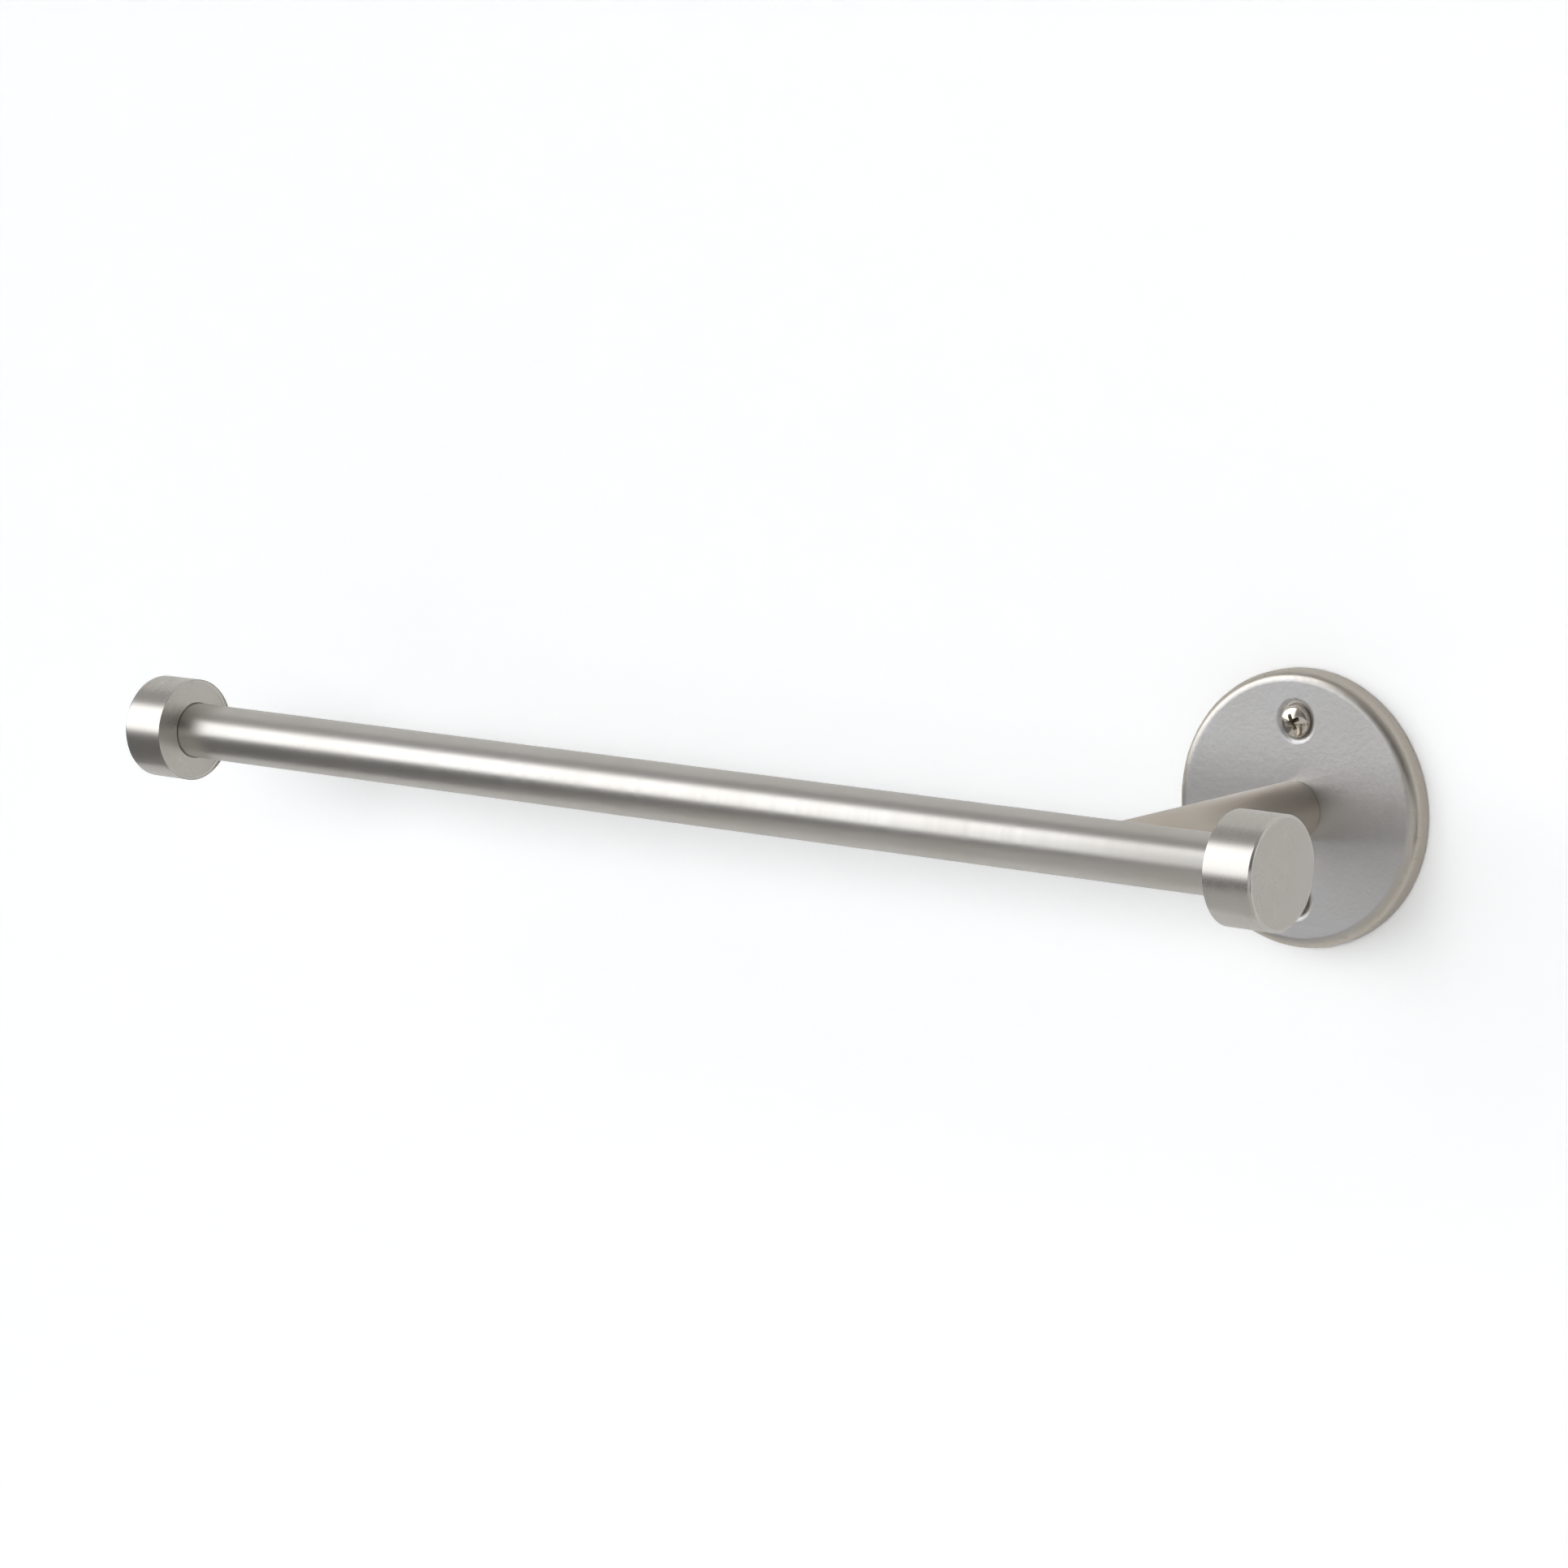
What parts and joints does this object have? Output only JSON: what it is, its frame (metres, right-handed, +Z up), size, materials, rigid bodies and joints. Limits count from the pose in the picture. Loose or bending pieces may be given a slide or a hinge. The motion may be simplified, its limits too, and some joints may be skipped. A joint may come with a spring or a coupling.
{
  "type": "paper towel holder",
  "caption": "Wall-mounted paper towel holder: a round screw-on wall plate with a short stem carries a straight horizontal bar with a larger round cap at each end.",
  "frame": {"origin": "centre of the wall plate's rear rim, on the wall surface", "axes": "+X along the bar towards its short end, +Y into the wall, +Z up"},
  "size_m": [0.344, 0.1158, 0.0656],
  "materials": {
    "satin_nickel": "satin nickel plate with a fine lengthwise grain",
    "satin_plate": "satin nickel plate over a finely blasted pressing",
    "polished_nickel": "polished nickel plate",
    "zinc_plated_steel": "bright zinc plate",
    "brass": "turned"
  },
  "bodies": {
    "root": {"wall_plate": "satin_plate", "stem_tube": "satin_nickel", "stem_bush": "zinc_plated_steel", "clamp_screw": "zinc_plated_steel", "tooth_washer": "zinc_plated_steel", "load_washer": "zinc_plated_steel", "bar_tube": "satin_nickel", "bar_nut": "zinc_plated_steel", "near_cap": "satin_nickel", "far_cap": "satin_nickel", "near_insert": "brass", "far_insert": "brass", "cap_studs": "zinc_plated_steel", "wall_screws": "polished_nickel"}
  },
  "joints": []
}
